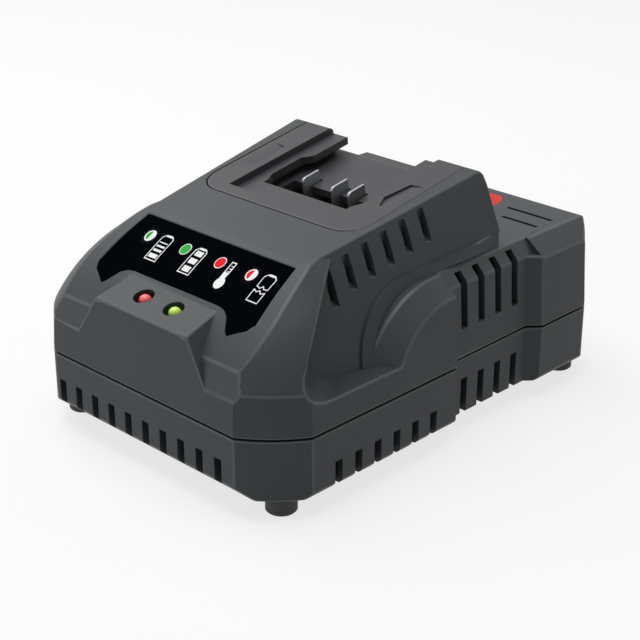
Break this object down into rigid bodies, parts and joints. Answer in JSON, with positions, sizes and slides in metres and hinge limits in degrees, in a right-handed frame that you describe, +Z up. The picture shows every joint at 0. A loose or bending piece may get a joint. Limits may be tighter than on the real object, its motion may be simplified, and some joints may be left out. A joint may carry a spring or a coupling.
{
  "type": "power tool battery charger",
  "caption": "Table-top charger for a slide-on power tool battery: vented grey two-part housing, sloping deck with contact blades in a well, status panel with two lamps, four round feet.",
  "frame": {"origin": "on the table, under the middle of the housing's seam outline", "axes": "+Z up; -Y towards the front with the lamps, +Y towards the rear where the battery slides on; +X to the right as seen from the front"},
  "size_m": [0.112, 0.1596, 0.0778],
  "materials": {
    "shell_grey": "fine moulded grain, charcoal ABS",
    "deck_grey": "smooth moulded, glass filled nylon",
    "black_nylon": "moulded",
    "plated_copper": "nickel plated copper strip",
    "zinc_steel": "zinc plated",
    "panel_black": "gloss printed polycarbonate film",
    "lamp_red": "tinted epoxy lens",
    "lamp_green": "tinted epoxy lens",
    "circuit_board": "solder mask on glass epoxy",
    "marker_red": "satin inlay",
    "ferrite": "sintered ferrite",
    "winding_tape": "polyester tape over winding",
    "capacitor_sleeve": "shrink sleeve",
    "film_capacitor": "moulded box",
    "copper_wire": "enamelled wire",
    "fuse_glass": "glass tube",
    "brass": "stamped",
    "black_epoxy": "moulded epoxy",
    "aluminium": "extruded",
    "natural_nylon": "moulded",
    "black_rubber": "moulded"
  },
  "bodies": {
    "root": {"base_tray": "shell_grey", "cover": "shell_grey", "battery_cradle": "deck_grey", "terminal_block": "black_nylon", "blade_negative": "plated_copper", "blade_sense": "plated_copper", "blade_positive": "plated_copper", "terminal_screws": "zinc_steel", "status_panel": "panel_black", "lamp_red": "lamp_red", "lamp_green": "lamp_green", "lamp_board": "circuit_board", "lamp_board_screws": "zinc_steel", "charge_marker": "marker_red", "main_board": "circuit_board", "board_screws": "zinc_steel", "transformer_core": "ferrite", "transformer_winding": "winding_tape", "bulk_capacitor": "capacitor_sleeve", "output_capacitors": "capacitor_sleeve", "line_capacitor": "film_capacitor", "mains_choke": "copper_wire", "fuse": "fuse_glass", "fuse_clips": "brass", "rectifier": "black_epoxy", "heatsink": "aluminium", "switching_transistor": "black_epoxy", "output_diode": "black_epoxy", "controller_chip": "black_epoxy", "board_connector": "natural_nylon", "cord_gland": "black_rubber", "cord_clamp": "black_nylon", "clamp_screws": "zinc_steel", "foot_front_left": "black_rubber", "foot_front_right": "black_rubber", "foot_rear_left": "black_rubber", "foot_rear_right": "black_rubber", "cover_screws": "zinc_steel", "cradle_screws": "zinc_steel"}
  },
  "joints": []
}
